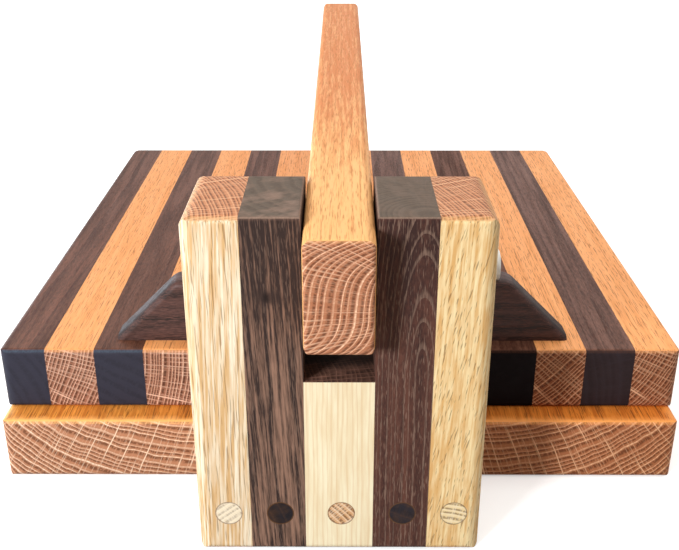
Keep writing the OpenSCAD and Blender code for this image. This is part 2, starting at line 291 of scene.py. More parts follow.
class MetalFinish(bpy.types.PropertyGroup):
    """Hinges, screws and pivot pin."""
    brass: colour("Brass", "Clean brass of the hinges", (0.60, 0.39, 0.145))
    tarnish: colour("Tarnish", "Dulled brass of the hinges", (0.30, 0.17, 0.060))
    screw: colour("Screws", "Brass of the screws", (0.42, 0.238, 0.084))
    screw_tarnish: colour("Screw tarnish", "Dulled brass of the screws", (0.18, 0.102, 0.036))
    steel: colour("Steel", "Ground steel of the pivot pin", (0.60, 0.60, 0.61))
    steel_dull: colour("Dull steel", "Dulled steel of the pivot pin", (0.36, 0.36, 0.366))


class StudioSettings(bpy.types.PropertyGroup):
    """Camera, lamps and floor."""
    camera_place: site("Camera", "Place of the camera", (0.8 * MM, -453.4 * MM, 228.2 * MM))
    camera_pitch: measure("Pitch", "Tilt of the camera below the horizon", radians(24.13), "ROTATION")
    camera_pan: measure("Pan", "Turn of the camera to the left", radians(0.15), "ROTATION")
    camera_lens: measure("Lens", "Focal length, in millimetres", 50.67, "CAMERA")
    camera_sensor: measure("Sensor", "Width of the sensor, in millimetres", 36, "CAMERA")
    camera_near: measure("Nearest", "Nearest distance that the camera shows", 0.01, "LENGTH")
    aim: site("Aim", "Place that the lamps point to", (0, 0, 0.05))
    key_power: measure("Key", "Power of the lamp in front", 3.65, "POWER")
    key_colour: colour("Key colour", "Colour of the lamp in front", (0.92, 0.96, 1.0))
    key_size: measure("Key size", "Side of the lamp in front", 0.11, "LENGTH")
    key_place: site("Key place", "Place of the lamp in front", (-0.33, -0.60, 0.26))
    window_power: measure("Window", "Power of the window on the left", 7.5, "POWER")
    window_colour: colour("Window colour", "Colour of the window on the left", (0.74, 0.88, 1.0))
    window_length: measure("Window length", "Length of the window on the left", 1.4, "LENGTH")
    window_height: measure("Window height", "Height of the window on the left", 0.24, "LENGTH")
    window_place: site("Window place", "Place of the window on the left", (-0.72, 0.20, 0.13))
    sky_strength: measure("Sky", "Strength of the soft light from above", 2.75)
    sky_spread: measure("Sky spread", "Spread of the soft light from above", radians(120), "ROTATION")
    sky_place: site("Sky place", "Place that the light from above comes from", (0.2, 0.3, 1.5))
    fill: measure("Fill", "Strength of the light all round", 0.115)
    fill_colour: colour("Fill colour", "Colour of the light all round", (1.0, 0.86, 0.72))
    floor: colour("Floor", "Colour of the floor", (0.90, 0.90, 0.90))
    floor_fleck: colour("Floor flecks", "Faint fibres of the floor", (0.882, 0.882, 0.882))
    floor_dull: colour("Floor light", "Colour that the floor throws on the press", (0.22, 0.1892, 0.1584))
    floor_glow: measure("Floor glow", "Light added to the seen floor", 0.40)
    floor_reach: measure("Floor reach", "Distance from the middle to the floor's sides", 4.0, "LENGTH")
    floor_drop: measure("Floor drop", "Gap between the press and the floor", 0.1 * MM, "LENGTH")


class PressSettings(bpy.types.PropertyGroup):
    """All sizes and finishes of the press."""
    board: PointerProperty(type=BoardFinish)
    plate: PointerProperty(type=PlateFinish)
    post: PointerProperty(type=PostFinish)
    lever: PointerProperty(type=LeverFinish)
    bar: PointerProperty(type=BarFinish)
    metal: PointerProperty(type=MetalFinish)
    studio: PointerProperty(type=StudioSettings)


def add(tree, kind, inputs=None, **settings):
    """New node; inputs are values or sockets to link."""
    node = tree.nodes.new(kind)
    for key, value in settings.items():
        setattr(node, key, value)
    for key, value in (inputs or {}).items():
        if isinstance(value, bpy.types.NodeSocket):
            tree.links.new(value, node.inputs[key])
        elif value is not None:
            node.inputs[key].default_value = value
    return node


def sums(tree, operation, first, second=None, third=None):
    return add(tree, "ShaderNodeMath", {0: first, 1: second, 2: third}, operation=operation).outputs[0]


def times(tree, first, second):
    return sums(tree, "MULTIPLY", first, second)


def plus(tree, value, amount, start):
    """Start plus an amount of a value."""
    return sums(tree, "MULTIPLY_ADD", value, amount, start)


def centred(tree, value):
    """Value from 0 to 1 moved to lie round 0."""
    return sums(tree, "SUBTRACT", value, 0.5)


def vectors(tree, operation, first, second=None):
    node = add(tree, "ShaderNodeVectorMath", {0: first, 1: second}, operation=operation)
    return node.outputs["Value" if operation in {"LENGTH", "DOT_PRODUCT"} else "Vector"]


def split(tree, vector):
    return add(tree, "ShaderNodeSeparateXYZ", {0: vector}).outputs


def join(tree, x=0.0, y=0.0, z=0.0):
    return add(tree, "ShaderNodeCombineXYZ", {"X": x, "Y": y, "Z": z}).outputs[0]


def noise(tree, vector, detail=0.0, roughness=0.5):
    node = add(tree, "ShaderNodeTexNoise", {
        "Vector": vector, "Scale": 1.0, "Detail": detail, "Roughness": roughness})
    return node.outputs[0]


def scaled_noise(tree, vector, steps, detail, roughness=0.5):
    """Noise with so many steps per unit on each axis."""
    return noise(tree, vectors(tree, "MULTIPLY", vector, steps), detail, roughness)


def drawn_noise(tree, vector, width, length, detail, roughness=0.5):
    """Noise drawn out along the grain, with cells of a width and a length."""
    cells = join(tree, width, width, length)
    return noise(tree, vectors(tree, "DIVIDE", vector, cells), detail, roughness)


def chance(tree, number):
    """Chance value from 0 to 1 for each whole number."""
    return add(tree, "ShaderNodeTexWhiteNoise", {"W": number}, noise_dimensions="1D").outputs["Value"]


def ramp(tree, value, start, stop, low=0.0, high=1.0):
    """Smooth step of a value from low to high."""
    return add(tree, "ShaderNodeMapRange", {
        "Value": value, "From Min": start, "From Max": stop, "To Min": low, "To Max": high},
        interpolation_type="SMOOTHSTEP").outputs[0]


def mix(tree, amount, first, second, blend="MIX"):
    """Colour mix; the sockets of a colour mix are 0, 6 and 7."""
    return add(tree, "ShaderNodeMix", {0: amount, 6: first, 7: second},
               data_type="RGBA", blend_type=blend).outputs[2]


def opaque(rgb):
    return (*rgb, 1.0)


def make_group(build, inputs, outputs):
    """Shader node group with the name and the nodes of a function, a position and these sockets."""
    tree = bpy.data.node_groups.new(build.__name__, "ShaderNodeTree")
    for label, value in {"Position": (0, 0, 0), **inputs}.items():
        kind = "NodeSocketVector" if isinstance(value, tuple) else "NodeSocketFloat"
        tree.interface.new_socket(label, in_out="INPUT", socket_type=kind).default_value = value
    for label in outputs:
        tree.interface.new_socket(label, in_out="OUTPUT", socket_type="NodeSocketFloat")
    results = build(tree, add(tree, "NodeGroupInput").outputs)
    add(tree, "NodeGroupOutput", dict(zip(outputs, results)))


def place_group(tree, name, inputs):
    return add(tree, "ShaderNodeGroup", inputs, node_tree=bpy.data.node_groups[name]).outputs


def bare_tree(block):
    """Empty node tree of a material or a world."""
    block.use_nodes = True
    block.node_tree.nodes.clear()
    return block.node_tree


def new_material(name):
    """Empty material with its tree and its texture coordinates."""
    material = bpy.data.materials.new(name)
    tree = bare_tree(material)
    return material, tree, add(tree, "ShaderNodeTexCoord").outputs


def surface(tree, height, strength, relief, inputs):
    """Shader of a material, with relief in millimetres where the height is 1."""
    bump = add(tree, "ShaderNodeBump", {
        "Strength": strength, "Distance": relief * MM, "Height": height}).outputs[0]
    shader = add(tree, "ShaderNodeBsdfPrincipled", {**inputs, "Normal": bump}).outputs[0]
    add(tree, "ShaderNodeOutputMaterial", {"Surface": shader})


def new_object(name, data):
    """Object in the scene."""
    made = bpy.data.objects.new(name, data)
    bpy.context.scene.collection.objects.link(made)
    return made


def mesh_object(name, mesh):
    """Object in the scene from a finished bmesh."""
    data = bpy.data.meshes.new(name)
    mesh.to_mesh(data)
    mesh.free()
    return new_object(name, data)


def growth_rings(tree, given):
    """Yearly rings round a pith along Z, in millimetres.

    They give the earlywood, each ring's tone, its light line and its dark row of pores.
    """
    position = given["Position"]
    axes = split(tree, position)
    dome = sums(tree, "MAXIMUM", times(tree, axes["Z"], given["Bulge"]), 0.0)
    radius = vectors(tree, "LENGTH", join(tree, axes["X"], axes["Y"], dome))
    wave = scaled_noise(tree, position, WAVE_STEPS, 1.0)
    radius = plus(tree, centred(tree, wave), times(tree, given["Wave"], 2.0), radius)
    ripple = scaled_noise(tree, position, RIPPLE_STEPS, 1.0)
    radius = plus(tree, centred(tree, ripple), given["Ripple"], radius)
    radius = plus(tree, axes["Z"], given["Taper"], radius)
    bend = sums(tree, "POWER", times(tree, axes["Y"], 0.1), 3.0)
    radius = plus(tree, bend, given["Sway"], radius)
    count = sums(tree, "DIVIDE", radius, given["Ring Width"])
    uneven = add(tree, "ShaderNodeTexNoise", {"W": count, "Scale": 0.4, "Detail": 0.0},
                 noise_dimensions="1D").outputs[0]
    count = plus(tree, uneven, 1.2, count)
    season = sums(tree, "FRACT", count)
    row = sums(tree, "SUBTRACT", ramp(tree, season, *ROW_START), ramp(tree, season, *ROW_STOP))
    early = ramp(tree, season, *EARLYWOOD, 1.0, 0.0)
    tone = chance(tree, sums(tree, "FLOOR", count))
    return early, tone, ramp(tree, season, *LIGHT_LINE, 1.0, 0.0), row


def wood_pores(tree, given):
    """Open pores, dots on the end grain and dashes along it, thickest in the earlywood."""
    field = drawn_noise(tree, given["Position"], given["Width"], given["Length"], 1.0)
    field = plus(tree, given["Early"], 0.10, field)
    full = sums(tree, "ADD", given["Level"], 0.09)
    return [ramp(tree, field, given["Level"], full)]


def ray_layer(tree, arc, along, spacing, width, seed):
    """One set of rays: a thin line at a place of its own in each step of arc round the pith."""
    step = sums(tree, "ADD", sums(tree, "DIVIDE", arc, spacing), seed)
    number = sums(tree, "FLOOR", step)
    luck = chance(tree, number)
    middle = plus(tree, luck, 0.7, 0.15)
    away = sums(tree, "ABSOLUTE", sums(tree, "SUBTRACT", sums(tree, "FRACT", step), middle))
    away = sums(tree, "DIVIDE", times(tree, away, spacing), width)
    strength = ramp(tree, sums(tree, "FRACT", times(tree, luck, 7.1)), 0, 1, 0.2, 1)
    line = times(tree, ramp(tree, away, 0.3, 1.0, 1.0, 0.0), strength)
    run = noise(tree, vectors(tree, "ADD", along, join(tree, times(tree, number, 7.3))))
    return times(tree, line, ramp(tree, run, 0.36, 0.60, 0.1, 1.0))


def wood_rays(tree, given):
    """Medullary rays, thin sheets that run out from the pith, bold and fine, and the grit between them."""
    axes = split(tree, given["Position"])
    wander = scaled_noise(tree, given["Position"], WANDER_STEPS, 1.0)
    arc = times(tree, sums(tree, "ARCTAN2", axes["Y"], axes["X"]), given["Pith Distance"])
    arc = plus(tree, wander, 1.6, arc)
    along = join(tree, 0.0, times(tree, axes["X"], 0.07), sums(tree, "DIVIDE", axes["Z"], given["Height"]))
    bold = ray_layer(tree, arc, along, given["Spacing"], given["Width"], 0.0)
    fine = ray_layer(tree, arc, along, times(tree, given["Spacing"], 0.43), times(tree, given["Width"], 0.8),
                     31.0)
    rays = sums(tree, "MAXIMUM", bold, times(tree, fine, 0.4))
    cells = join(tree, times(tree, axes["X"], 0.6), times(tree, arc, 1.3), times(tree, axes["Z"], 0.1))
    return rays, ramp(tree, noise(tree, cells, 1.0), 0.30, 0.62)


def wood_streaks(tree, given):
    """Broad soft streaks along the grain, and its fine fibres."""
    broad = drawn_noise(tree, given["Position"], given["Width"], given["Length"], 2.0, 0.6)
    fine = drawn_noise(tree, given["Position"], FIBRE_WIDTH, given["Fibre Length"], 2.0, 0.7)
    return ramp(tree, broad, 0.30, 0.70), ramp(tree, fine, 0.25, 0.75)


def edge_wear_and_highlight(tree, given):
    """Mask of the edges of a box, where two of its faces are near: edges partly worn and partly a painted
    highlight.
    """
    low = vectors(tree, "SUBTRACT", given["Position"], given["Low"])
    high = vectors(tree, "SUBTRACT", given["High"], given["Position"])
    near = split(tree, vectors(tree, "MINIMUM", low, high))
    least = sums(tree, "MINIMUM", near["X"], near["Y"])
    most = sums(tree, "MAXIMUM", near["X"], near["Y"])
    second = sums(tree, "MAXIMUM", least, sums(tree, "MINIMUM", most, near["Z"]))
    rough = scaled_noise(tree, given["Position"], EDGE_STEPS, 2.0)
    width = times(tree, given["Width"], ramp(tree, rough, 0.2, 0.8, 0.7, 1.3))
    return [ramp(tree, second, 0.0, width, 1.0, 0.0)]


# Effects that the woods share, with their inputs beside the position, and their outputs
EFFECTS = (
    (growth_rings, {"Ring Width": 2.5, "Wave": 2.0, "Ripple": 0.6, "Taper": 0.0, "Sway": 0.0, "Bulge": 0.0},
     ("Early", "Tone", "Line", "Row")),
    (wood_pores, {"Early": 0.5, "Width": 0.4, "Length": 9.0, "Level": 0.6}, ("Pores",)),
    (wood_rays, {"Pith Distance": 100.0, "Spacing": 2.5, "Width": 0.28, "Height": 18.0}, ("Rays", "Grit")),
    (wood_streaks, {"Width": 3.0, "Length": 80.0, "Fibre Length": 6.0}, ("Streak", "Fibre")),
    (edge_wear_and_highlight, {"Low": (0, 0, 0), "High": (1, 1, 1), "Width": 0.002}, ("Edge",)),
)


def grain_frame(centre, axis, pith_distance, pith_angle, lean=(0, 0, 0)):
    """Place and turn that lay the grain along Z, the pith at the origin and the piece on the X side."""
    turn = Matrix.Rotation(-radians(pith_angle), 3, "Z") @ GRAIN_TURNS[axis]
    turn = turn @ Euler([radians(angle) for angle in lean]).to_matrix()
    place = Vector((pith_distance, 0, 0)) - turn @ (Vector(centre) / MM)
    return place, turn.to_euler()


def shades(pale, deep, pore, end_pale, end_deep, rim):
    """Tones of a wood: its long grain, pores, end grain, and the painted light of its eased edges, which also
    colours dowel seams.
    """
    return {"pale": pale, "deep": deep, "pore": pore, "end_pale": end_pale, "end_deep": end_deep, "rim": rim}


def wood_grain(tree, wood, position, pith_distance):
    """Masks of the rings, pores, rays and streaks at a position in the log, by name."""
    pore_place = grown = spread = position
    if wood["pore_lean"]:
        pore_place = add(tree, "ShaderNodeMapping", {
            "Vector": position, "Rotation": Euler((0, radians(wood["pore_lean"]), 0))}).outputs[0]
    if wood["dish"]:
        axes = split(tree, position)
        side = sums(tree, "DIVIDE", sums(tree, "ABSOLUTE", axes["Y"]), wood["dish"])
        grown = join(tree, axes["X"], times(tree, side, axes["Y"]), axes["Z"])
        spread = vectors(tree, "SUBTRACT", grown, (wood["fan"], 0, 0))
    rings = place_group(tree, "growth_rings", {
        "Position": grown, "Ring Width": wood["ring_width"], "Wave": wood["wave"], "Ripple": wood["ripple"],
        "Taper": wood["taper"], "Sway": wood["sway"], "Bulge": wood["bulge"]})
    pores = place_group(tree, "wood_pores", {
        "Position": pore_place, "Early": rings["Early"], "Width": wood["pore_width"],
        "Length": wood["pore_length"], "Level": wood["pore_level"]})
    rays = place_group(tree, "wood_rays", {
        "Position": spread, "Pith Distance": pith_distance - wood["fan"], "Spacing": wood["ray_spacing"],
        "Width": wood["ray_width"], "Height": wood["ray_height"]})
    streaks = place_group(tree, "wood_streaks", {
        "Position": position, "Width": wood["streak_width"], "Length": wood["streak_length"],
        "Fibre Length": wood["fibre_length"]})
    return {mask.name: mask for group in (rings, pores, rays, streaks) for mask in group}


def long_grain(tree, wood, tones, grain, fade):
    """Long grain: streaks, fibres and earlywood darken it, then come light ring lines and the pores."""
    dark = times(tree, grain["Streak"], wood["streak_shade"])
    dark = plus(tree, grain["Fibre"], wood["fibre_shade"], dark)
    dark = plus(tree, grain["Early"], wood["ring_shade"], dark)
    dark = plus(tree, centred(tree, grain["Tone"]), RING_SPREAD, dark)
    if fade is not None:
        dark = sums(tree, "ADD", dark, fade)
    face = mix(tree, dark, opaque(tones["pale"]), opaque(tones["deep"]))
    face = mix(tree, times(tree, grain["Line"], wood["ring_glow"]), face, opaque(tones["pore"]))
    return mix(tree, times(tree, grain["Pores"], wood["pore_depth"]), face, opaque(tones["pore"]))


def end_grain(tree, wood, tones, grain, position):
    """End grain: a ground with dark rows of pores, then light ring lines, rays and figure."""
    row = times(tree, grain["Row"], ramp(tree, grain["Grit"], 0.0, 0.8, 0.25, 1.0))
    ground = mix(tree, times(tree, row, wood["row_depth"]), opaque(tones["end_deep"]),
                 opaque([part * shade for part, shade in zip(tones["end_deep"], ROW_SHADE)]))
    beads = ramp(tree, grain["Grit"], 0.0, 1.0, 1.0, 0.55)
    light = times(tree, times(tree, grain["Line"], wood["line_light"]), beads)
    light = times(tree, light, ramp(tree, grain["Tone"], 0, 1, 0.5, 1))
    light = sums(tree, "MAXIMUM", light, times(tree, grain["Rays"], wood["ray_light"]))
    patch = scaled_noise(tree, position, FIGURE_STEPS, 3.0, 0.6)
    light = plus(tree, ramp(tree, patch, 0.42, 0.70), wood["figure"], light)
    return mix(tree, light, ground, opaque(tones["end_pale"]))


def oval(tree, off, shape, width, bend, wobble):
    """Distance from the middle of a bent oval on an upright front face, 1 at its edge."""
    stretch = (1 / (shape[0] * width * MM), 0, 1 / (shape[1] * width * MM))
    return plus(tree, bend, wobble, vectors(tree, "LENGTH", vectors(tree, "MULTIPLY", off, stretch)))


def knot(tree, spot, place, face, tones):
    """Small knot on an upright front face, at x and z and of a size: a dark smudge with its darker eye."""
    x, z, width = place
    off = vectors(tree, "SUBTRACT", spot, (x * MM, 0, z * MM))
    bend = scaled_noise(tree, spot, KNOT_STEPS, 2.0)
    smudge = ramp(tree, oval(tree, off, KNOT_SMUDGE, width, bend, 0.9), 0.6, 1.5, 0.85, 0.0)
    face = mix(tree, smudge, face, opaque(tones["deep"]))
    eye = ramp(tree, oval(tree, off, KNOT_EYE, width, bend, 0.8), 0.5, 1.5, 0.85, 0.0)
    return mix(tree, eye, face, opaque(Vector(tones["deep"]) * KNOT_SHADE))


def edge_mask(tree, wood, spot, low, high, glued):
    """Edges of a piece, partly worn and partly a painted highlight, apart from those on its glued sides, L on
    the left and R on the right.
    """
    low, high = low.copy(), high.copy()
    low.x -= GLUED_AWAY if "L" in glued else 0.0
    high.x += GLUED_AWAY if "R" in glued else 0.0
    return place_group(tree, "edge_wear_and_highlight", {
        "Position": spot["Object"], "Low": tuple(low), "High": tuple(high),
        "Width": wood["edge_width"] * MM})["Edge"]


def wood_material(name, node, wood, tones, axis, pith_distance, pith_angle, along=0.0, lean=(0, 0, 0),
                  glued="", **own):
    """Solid wood cut from a log, so that grain, rings and rays run on from face to face."""
    wood = {**wood, **own}
    low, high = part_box(node)
    middle = (low + high) / 2
    material, tree, spot = new_material(name)
    place, turn = grain_frame(middle, axis, pith_distance, pith_angle, lean)
    place.z += along
    position = add(tree, "ShaderNodeMapping", {
        "Vector": spot["Object"], "Location": place, "Rotation": turn, "Scale": (1 / MM,) * 3}).outputs[0]
    grain = wood_grain(tree, wood, position, pith_distance)

    # Fade: a tone that runs along the grain, lighter at one end and darker at the other; on the lever it is
    # painted light
    fade = None
    if wood["fade"]:
        reach = max(high - low) / MM / 2
        fade = ramp(tree, split(tree, position)["Z"], along, along + reach, 0.5 * wood["fade"], -wood["fade"])
    sides = long_grain(tree, wood, tones, grain, fade)
    if wood["knot"]:
        sides = knot(tree, spot["Object"], wood["knot"], sides, tones)
    edge = edge_mask(tree, wood, spot, low, high, glued)
    # Edges turn towards the worn tone: partly wear, partly a painted highlight
    sides = mix(tree, times(tree, edge, wood["wear"]), sides, opaque(tones.get("worn", tones["pale"])))

    ends = end_grain(tree, wood, tones, grain, position)
    # Painted shade: the end grain goes black deeper into the slot, under the lever
    if wood["soot"]:
        depth = split(tree, spot["Object"])["Y"]
        start, full = [low.y + reach * MM for reach in SLOT_SHADE_REACH]
        ends = mix(tree, ramp(tree, depth, start, full, 0.0, wood["soot"]), ends, BLACK)

    grain_axis = tuple(turn.to_matrix().inverted() @ Vector((0, 0, 1)))
    facing = sums(tree, "ABSOLUTE", vectors(tree, "DOT_PRODUCT", spot["Normal"], grain_axis))
    end = ramp(tree, facing, *END_FACE)
    face = mix(tree, end, sides, ends)
    # Painted light on the eased edges between long and end grain, strongest where they face up: a highlight
    # where the rim tone is light, a shade line where it is dark
    eased = sums(tree, "SUBTRACT", ramp(tree, facing, *HIGHLIGHT_START), ramp(tree, facing, *HIGHLIGHT_STOP))
    upward = ramp(tree, split(tree, spot["Normal"])["Z"], *HIGHLIGHT_UPWARD)
    eased = times(tree, times(tree, eased, upward), ramp(tree, grain["Fibre"], 0, 1, 1, 0.4))
    face = mix(tree, times(tree, eased, wood["rim"]), face, opaque(tones["rim"]))
    # Painted shade: the plank grows warmer and deeper towards its right side
    if wood["heart"]:
        across = split(tree, spot["Object"])["X"]
        heart = ramp(tree, across, low.x, high.x, -0.5 * wood["heart"], wood["heart"])
        face = mix(tree, heart, face, opaque(RIGHT_SHADE_TINT), "MULTIPLY")
    if wood["seam"]:
        flat = [0 if letter == axis else 1 for letter in "XYZ"]
        away = vectors(tree, "MULTIPLY", vectors(tree, "SUBTRACT", spot["Object"], tuple(middle)), flat)
        start, full = [(high.z - low.z) / 2 - reach * MM for reach in SEAM_REACH]
        seam = ramp(tree, vectors(tree, "LENGTH", away), start, full)
        face = mix(tree, times(tree, seam, wood["seam"]), face, opaque(tones["rim"]))

    rough = plus(tree, grain["Streak"], STREAK_ROUGH, wood["roughness"])
    rough = plus(tree, end, END_ROUGH, rough)
    rough = plus(tree, grain["Pores"], PORE_ROUGH, rough)
    height = sums(tree, "SUBTRACT", times(tree, grain["Rays"], RAY_HEIGHT), grain["Pores"])
    surface(tree, height, WOOD_BUMP, wood["relief"], {
        "Base Color": face, "Roughness": rough, "Specular IOR Level": wood["shine"]})
    return material


def dress(node, material):
    NODES[node].data.materials[0] = material


def dress_wood(node, name, *cut, **own):
    """Dress a node in a wood of its own."""
    dress(node, wood_material(name, node, *cut, **own))


class PRESS_OT_base_board(bpy.types.Operator):
    """Dress the base board in oak, its end grain to the front"""
    bl_idname = "press.base_board"
    bl_label = "Base Board"

    def execute(self, context):
        finish = context.scene.press.board
        tones = shades(finish.pale, finish.deep, finish.pore, finish.end_pale, finish.end_deep, finish.rim)
        # The light band on the base's eased edges, in the rim tone, is a painted highlight
        dress_wood(
            "base_board", "base_oak", OAK, {**tones, "worn": finish.rim}, "Y", 155.0, -90.0, 40.0,
            ring_width=2.5, wave=1.5, ripple=1.8, dish=160.0, fan=65.0, line_light=1.0, row_depth=0.85,
            ray_spacing=3.4, ray_light=0.9, streak_width=1.6, streak_shade=0.8, wear=0.85,
            # Painted shade towards the base's right side
            edge_width=5.0, pore_depth=0.8, pore_length=8.0, heart=0.8)
        return {"FINISHED"}


class PRESS_OT_plate(bpy.types.Operator):
    """Dress the staves of the pressing plate, walnut and oak in turn"""
    bl_idname = "press.plate"
    bl_label = "Pressing Plate"

    def execute(self, context):
        finish = context.scene.press.plate
        oak = shades(finish.oak_pale, finish.oak_deep, finish.oak_pore, finish.oak_end_pale,
                     finish.oak_end_deep, finish.oak_pale)
        # Staves on the right take copies with painted light and shade, their walnut edges a painted shade line;
        # the stave beside the post takes a painted shadow on its end grain
        oak_lit_and_shaded_right = {**oak, "pale": finish.oak_pale_lit_right, "end_deep": finish.oak_end_shaded_right,
                     "end_pale": finish.oak_line_shaded_right}
        walnut = shades(finish.walnut_pale, finish.walnut_deep, finish.walnut_pore, finish.walnut_line,
                        finish.walnut_end, finish.walnut_edge_highlight)
        brown = {**walnut, "pale": finish.brown_pale, "end_deep": finish.walnut_end_shaded_right, "rim": finish.walnut_deep}
        dark = {**brown, "end_deep": finish.stave_shadow_end, "end_pale": finish.stave_shadow_line}
        for number, (name, angle) in enumerate(zip(STAVES, STAVE_ANGLES)):
            cut = "Y", STAVE_PITHS[number % len(STAVE_PITHS)], angle, STAVE_LOG_STEP * number
            right = number >= len(STAVES) // 2
            if number % 2:
                dress_wood(
                    name, name + "_oak", OAK, oak_lit_and_shaded_right if right else oak, *cut, glued="LR",
                    ring_width=1.45, row_depth=0.95, line_light=0.8, ray_spacing=4.4,
                    ray_width=0.5 if right else 0.42, ray_light=1.0, pore_depth=0.75, pore_length=7.0)
            else:
                shaded = name == SHADED_STAVE
                tones = dark if shaded else brown if right else walnut
                dress_wood(
                    name, name + "_walnut", WALNUT, tones, *cut, glued="LR", figure=0.05,
                    shine=0.05 if shaded else 0.13)
        return {"FINISHED"}


class PRESS_OT_post(bpy.types.Operator):
    """Dress the cheeks and the spacer of the post"""
    bl_idname = "press.post"
    bl_label = "Post"

    def execute(self, context):
        finish = context.scene.press.post
        ends = finish.oak_end_pale, finish.oak_end_deep
        oak = shades(finish.oak_pale, finish.oak_deep, finish.oak_pore, *ends, finish.oak_deep)
        gold = shades(finish.gold_pale, finish.gold_deep, finish.oak_pore, *ends, finish.gold_deep)
        fleck = finish.walnut_fleck
        walnut = shades(finish.walnut_pale, finish.walnut_deep, fleck, fleck, finish.walnut_end, fleck)
        brown = {**walnut, "pale": finish.brown_pale, "deep": finish.brown_deep}
        maple = shades(finish.maple_pale, finish.maple_deep, finish.maple_deep, finish.maple_line,
                       finish.maple_end_oil_and_shade, finish.maple_pale)
        dress_wood(
            "left_outer_cheek", "left_cheek_oak", OAK, oak, "Z", 120.0, 18.0, 30.0, (0, -2, 0), "R",
            streak_width=1.0, streak_length=30.0, streak_shade=0.95, fibre_shade=0.2, pore_width=0.42,
            pore_length=18.0, pore_lean=4.0, ring_width=1.25)
        dress_wood(
            "right_outer_cheek", "right_cheek_oak", OAK, gold, "Z", 110.0, 21.0, 400.0, (0, -3, 0), "L",
            streak_width=1.2, streak_length=16.0, streak_shade=0.75, pore_width=0.5, pore_length=13.0,
            pore_depth=0.65, pore_level=0.63, pore_lean=-12.0, ring_width=1.25)
        dress_wood(
            "left_inner_cheek", "left_cheek_walnut", WALNUT, walnut, "Z", 40.0, -150.0, 70.0, (0, 3, 0), "LR",
            streak_width=0.9, streak_length=30.0, streak_shade=0.9, ring_shade=0.35, ripple=2.5,
            fibre_length=6.0, fibre_shade=0.5, pore_depth=0.22, knot=(-23.0, 99.5, 2.6), figure=0.6,
            fade=-0.4)
        dress_wood(
            "right_inner_cheek", "right_cheek_walnut", WALNUT, brown, "Z", 19.4, 106.8, -7.0, glued="LR",
            ring_width=1.5, wave=0.3, ripple=0.5, taper=0.0, bulge=0.18, ring_glow=0.28, fibre_length=2.2,
            figure=0.15, fade=-0.4)
        dress_wood(
            # The spacer's end grain takes a painted shade deeper in the slot
            "centre_spacer", "spacer_maple", MAPLE, maple, "Z", 90.0, 20.0, 200.0, glued="LR", soot=0.88)
        return {"FINISHED"}


class PRESS_OT_dowels(bpy.types.Operator):
    """Dress the dowels and the plugs of the pivot"""
    bl_idname = "press.dowels"
    bl_label = "Dowels"

    def execute(self, context):
        finish = context.scene.press.post
        tan = shades(finish.oak_pale, finish.oak_deep, finish.oak_pore, finish.dowel_pale, finish.dowel_deep,
                     finish.seam)
        for name, angle, ground, rows in (("dowel_left_outer", 130, finish.dowel_cream, 0.5),
                                          ("dowel_centre", 45, finish.dowel_deep, 0.9),
                                          ("dowel_right_outer", 80, finish.dowel_gold, 0.8)):
            dress_wood(
                name, name + "_oak", OAK, {**tan, "end_deep": ground}, "Y", 40.0, angle, 50.0 + angle,
                ring_width=1.9, wave=1.6, line_light=1.0, row_depth=rows, ray_spacing=1.9, ray_width=0.4,
                rim=0.0, seam=0.7)
        dark = shades(finish.dowel_dark, finish.dowel_dark, finish.seam, finish.seam, finish.dowel_dark,
                      finish.seam)
        worn = {**dark, "end_deep": finish.dowel_worn}
        for name, angle, along, tones, axis in (("dowel_left_inner", 30, 120.0, dark, "Y"),
                                                ("dowel_right_inner", 75, 165.0, worn, "Y"),
                                                ("left_pivot_plug", 30, 50.0, dark, "X"),
                                                ("right_pivot_plug", 75, 95.0, dark, "X")):
            dress_wood(
                name, name + "_walnut", WALNUT, tones, axis, 40.0, angle, along, rim=0.0, wear=0.0, seam=0.6)
        return {"FINISHED"}


class PRESS_OT_lever(bpy.types.Operator):
    """Dress the lever in oak"""
    bl_idname = "press.lever"
    bl_label = "Lever"

    def execute(self, context):
        finish = context.scene.press.lever
        tones = shades(finish.pale, finish.deep, finish.pore, finish.end_pale, finish.end_deep, finish.pale)
        # The lever's fade is painted light: it is lighter towards its near end, as if nearer the lamp
        dress_wood(
            "lever", "lever_oak", OAK, tones, "Y", 43.0, 175.0, 20.0, (-1.8, 0, 0),
            ring_width=2.3, wave=0.6, sway=-1.45, ray_spacing=1.3, ray_light=0.5, line_light=1.0,
            streak_width=1.3, streak_length=26.0, streak_shade=0.75, pore_width=0.3, pore_length=7.0,
            pore_level=0.57, fade=0.8, rim=0.3)
        return {"FINISHED"}


